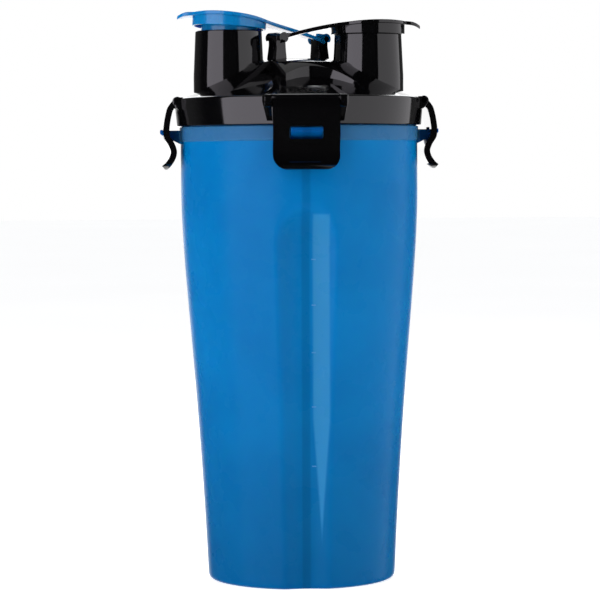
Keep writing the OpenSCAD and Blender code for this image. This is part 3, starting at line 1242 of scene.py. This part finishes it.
@dataclass
class Latch:
    """A swinging latch: barrel, curved strip with a slot for the lug, and a curled tail."""

    width: float = 28.4
    thick: float = 2.7
    slot_w: float = 14.4
    slot_low: float = 193.8
    slot_high: float = 199.3
    corner: float = 6.0
    bore: float = 1.05

    def line(self) -> list[Point]:
        """Returns the strip's middle line from the barrel to the tail's tip."""
        return eased([(54.8, 210.3), (56.8, 207.6), (57.6, 205.0), (58.2, 202.0), (58.6, 198.5), (58.3, 195.4),
                      (56.5, 192.4), (55.4, 189.1), (56.1, 186.1), (58.0, 183.3), (59.8, 181.8)], 5)

    def strip(self) -> Solid:
        """Makes the curved strip, cut to its outline and softened.

        Returns:
            The strip.
        """
        line = self.line()
        edge = []
        for i, point in enumerate(line):
            before, after = line[max(i - 1, 0)], line[min(i + 1, len(line) - 1)]
            along = Vector((after[0] - before[0], after[1] - before[1])).normalized()
            edge.append((Vector(point), Vector((-along.y, along.x)) * self.thick / 2))
        outline = [tuple(p + n) for p, n in edge] + [tuple(p - n) for p, n in reversed(edge)]
        strip = Bench.slab("strip", outline, self.width)
        Bench.cut(strip, self.frame_cutter(), Cut.KEEP)
        slot = Bench.block((52, -self.slot_w / 2, self.slot_low), (64, self.slot_w / 2, self.slot_high))
        Bench.cut(strip, Bench.soften(slot, 1.2, 4), Cut.AWAY)
        return Bench.soften(strip, 0.65, 4, 38)

    def frame_cutter(self) -> Solid:
        """Makes a deep block with the latch's outline as seen from outside.

        Returns:
            The block.
        """
        block = Bench.block((45, -self.width / 2, 181.0), (70, self.width / 2, 220.0))
        bpy.ops.object.mode_set(mode="EDIT")
        bpy.ops.mesh.select_mode(type="EDGE")
        bpy.ops.mesh.select_all(action="DESELECT")
        bpy.ops.object.mode_set(mode="OBJECT")
        points = block.data.vertices
        for edge in block.data.edges:
            ends = [points[i].co / MM for i in edge.vertices]
            edge.select = all(p.z < 182 for p in ends) and abs(ends[0].x - ends[1].x) > 1
        bpy.ops.object.mode_set(mode="EDIT")
        bpy.ops.mesh.bevel(offset=self.corner * MM, segments=10, affect="EDGES")
        bpy.ops.object.mode_set(mode="OBJECT")
        return block

    def build(self, shelf: Shelf) -> None:
        """Builds the four latches.

        Args:
            shelf: Where the finishes are.
        """
        latch = self.strip()
        at_pin = shift(LATCH_PIN[0], 0, LATCH_PIN[1])
        Bench.cut(latch, Bench.move(Bench.rod(LATCH_BARREL, self.width, 40, 0.3), at_pin), Cut.JOIN)
        Bench.cut(latch, Bench.move(Bench.rod(self.bore, self.width + 4, 24), at_pin), Cut.AWAY)
        Bench.polish(latch, 38)
        for side in Side:
            twin = Bench.copy(latch, f"swing_latch_{side.tag}", about_z(side.value))
            shelf.dress(twin, GLOSS_BLACK, f"latch_{side.tag}", [f"latch_{side.tag}"])
        bpy.data.objects.remove(latch)


# ---------------------------------------------------------------- hidden pieces


@dataclass
class Inner:
    """Pins, seals and grids: their shapes are right as packed, so they only get their finishes."""

    pins: tuple[str, ...] = ("cap_pin_right", "cap_pin_left", *(f"latch_pin_{s.tag}" for s in Side))
    soft: tuple[str, ...] = ("rim_gasket", "divider_seal", "cap_seal_right", "cap_seal_left")
    grids: tuple[str, ...] = ("grid_right", "grid_left")

    def dress(self, shelf: Shelf) -> None:
        """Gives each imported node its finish.

        Args:
            shelf: Where the finishes are.
        """
        for names, finish in ((self.pins, GLOSS_BLACK), (self.soft, SOFT_SEAL), (self.grids, GRID_BLACK)):
            for name in names:
                shelf.coat(frame["nodes"][name], finish)
                LOG.info("node %s: finish %s", name, finish.name)


# ---------------------------------------------------------------- studio


@dataclass
class Panel:
    """A soft light panel that faces the bottle."""

    name: str
    turn: float
    lift: float
    reach: float
    size: tuple[float, float]
    glow: float
    colour: tuple[float, float, float] = (1.0, 1.0, 1.0)
    aim_z: float = 0.13

    def hang(self, yaw: float) -> None:
        """Hangs the panel.

        Args:
            yaw: The camera's turn; the panel's own turn is counted from it to the right, in degrees.
        """
        turn, lift = math.radians(self.turn + yaw), math.radians(self.lift)
        away = Vector((math.sin(turn) * math.cos(lift), -math.cos(turn) * math.cos(lift), math.sin(lift)))
        data = bpy.data.lights.new(self.name, "AREA")
        data.shape = "RECTANGLE"
        data.size, data.size_y = self.size
        data.energy = self.glow * math.pi * self.size[0] * self.size[1]
        data.color = self.colour
        lamp = bpy.data.objects.new(self.name, data)
        lamp.location = Vector((0, 0, self.aim_z)) + away * self.reach
        lamp.rotation_euler = away.to_track_quat("Z", "Y").to_euler()
        bpy.context.scene.collection.objects.link(lamp)


@dataclass
class Studio:
    """A pale floor, a white surround, soft panels and the camera."""

    yaw: float = -3.2
    distance: float = 1.2
    eye_z: float = 0.183
    aim_z: float = 0.1231
    lens: float = 162.6
    roll: float = -0.38
    fill: float = 0.38
    fill_colour: tuple[float, float, float] = (0.95, 0.97, 1.0)
    panels: list[Panel] = field(default_factory=lambda: [
        Panel("left_panel", -46, 0, 0.80, (0.82, 1.4), 3.0, (0.95, 0.90, 1.0), 0.30),
        Panel("right_panel", 79, 0, 0.80, (1.65, 1.4), 1.4, (0.98, 0.96, 1.0), 0.30),
        Panel("top_panel", 0, 143, 1.0, (1.1, 0.45), 3.0, (0.96, 0.98, 1.0)),
    ])

    def floor(self) -> None:
        """Lays the pale floor. It stays out of reflections, as a small table does."""
        Bench.clear()
        bpy.ops.mesh.primitive_circle_add(vertices=96, radius=8.0, fill_type="NGON", location=(0, 0, 0))
        floor = bpy.context.object
        floor.name = "floor"
        nodes = Nodes("pale_floor")
        nodes.tint(nodes.noise(3, 2), (0.86, 0.86, 0.86), (0.90, 0.90, 0.90))
        nodes.shader.inputs["Roughness"].default_value = 0.9
        nodes.shader.inputs["Specular IOR Level"].default_value = 0.1
        nodes.shader.inputs["Emission Color"].default_value = (1, 1, 1, 1)
        nodes.shader.inputs["Emission Strength"].default_value = 0.62
        floor.data.materials.append(nodes.material)
        floor.visible_glossy = False

    def sky(self) -> None:
        """Sets a white surround for the view, a soft even fill, and a backdrop that shows in reflections."""
        world = bpy.data.worlds.new("studio")
        world.use_nodes = True
        world.node_tree.nodes.clear()
        wires = Wiring(world.node_tree)
        x, y, z = wires.parts(wires.add("TexCoord").outputs["Generated"])
        level = wires.sums("MULTIPLY", wires.ramp(y, 0.1, 0.5, 0.02, 1.7),
                           wires.ramp(wires.sums("ABSOLUTE", x), 0.25, 0.45, 1.0, 0.05))
        level = wires.sums("MULTIPLY", level, wires.ramp(z, 0.2, 0.75, 1.0, 0.25))
        backdrop, fill, white = (
            wires.add("Background", Color=(*colour, 1), Strength=strength).outputs["Background"]
            for colour, strength in (((1, 1, 1), 1.0), (self.fill_colour, self.fill), ((1, 1, 1), 1.0)))
        wires.join(level, backdrop.node.inputs["Strength"])
        seen = wires.add("LightPath")
        shown = backdrop
        for who, sheet in (("Is Diffuse Ray", fill), ("Is Camera Ray", white)):
            mix = wires.add("MixShader")
            wires.join(seen.outputs[who], mix.inputs["Fac"])
            wires.join(shown, mix.inputs[1])
            wires.join(sheet, mix.inputs[2])
            shown = mix.outputs["Shader"]
        wires.join(shown, wires.add("OutputWorld").inputs["Surface"])
        bpy.context.scene.world = world

    def camera(self) -> None:
        """Sets up the camera at the front."""
        data = bpy.data.cameras.new("front_camera")
        data.lens = self.lens
        data.sensor_width = 36.0
        data.clip_start = 0.05
        camera = bpy.data.objects.new("front_camera", data)
        turn = math.radians(self.yaw)
        eye = Vector((math.sin(turn) * self.distance, -math.cos(turn) * self.distance, self.eye_z))
        look = Vector((0, 0, self.aim_z)) - eye
        facing = look.to_track_quat("-Z", "Y").to_matrix().to_4x4()
        camera.matrix_world = Matrix.Translation(eye) @ facing @ Matrix.Rotation(math.radians(self.roll), 4, "Z")
        bpy.context.scene.collection.objects.link(camera)
        bpy.context.scene.camera = camera

    def build(self) -> None:
        """Builds the whole studio."""
        self.floor()
        self.sky()
        self.camera()
        for panel in self.panels:
            panel.hang(self.yaw)
        bpy.context.scene.view_settings.view_transform = "Standard"


def joint_place(name: str) -> Vector:
    """Returns where a joint's axis passes, in metres."""
    return Vector(next(j["pos_m"] for j in frame["joints"] if j["name"] == name))


def joint_axis(name: str) -> Vector:
    """Returns the direction of a joint's axis."""
    return Vector(next(j["axis"] for j in frame["joints"] if j["name"] == name))


def main() -> None:
    """Builds the bottle and the studio."""
    logging.basicConfig(level=logging.INFO, format="%(message)s")
    shelf = Shelf()
    axis = joint_axis("cap_right_hinge")
    cap_turn = math.degrees(math.atan2(axis.x, -axis.y))
    hinge = Matrix.Translation(joint_place("cap_right_hinge")) @ about_z(cap_turn)
    low = next(j["range_deg"][0] for j in frame["joints"] if j["name"] == "cap_left_hinge")
    left_place = Matrix.Translation(joint_place("cap_left_hinge"))
    opening = Matrix.Rotation(math.radians(-low), 4, joint_axis("cap_left_hinge"))
    ajar = left_place @ opening @ left_place.inverted() @ about_z(180)
    Cup().build(shelf)
    Lid().build(shelf, hinge)
    FlipCap().build(shelf, hinge, ajar)
    Latch().build(shelf)
    Inner().dress(shelf)
    Studio().build()


if __name__ == "__main__":
    main()
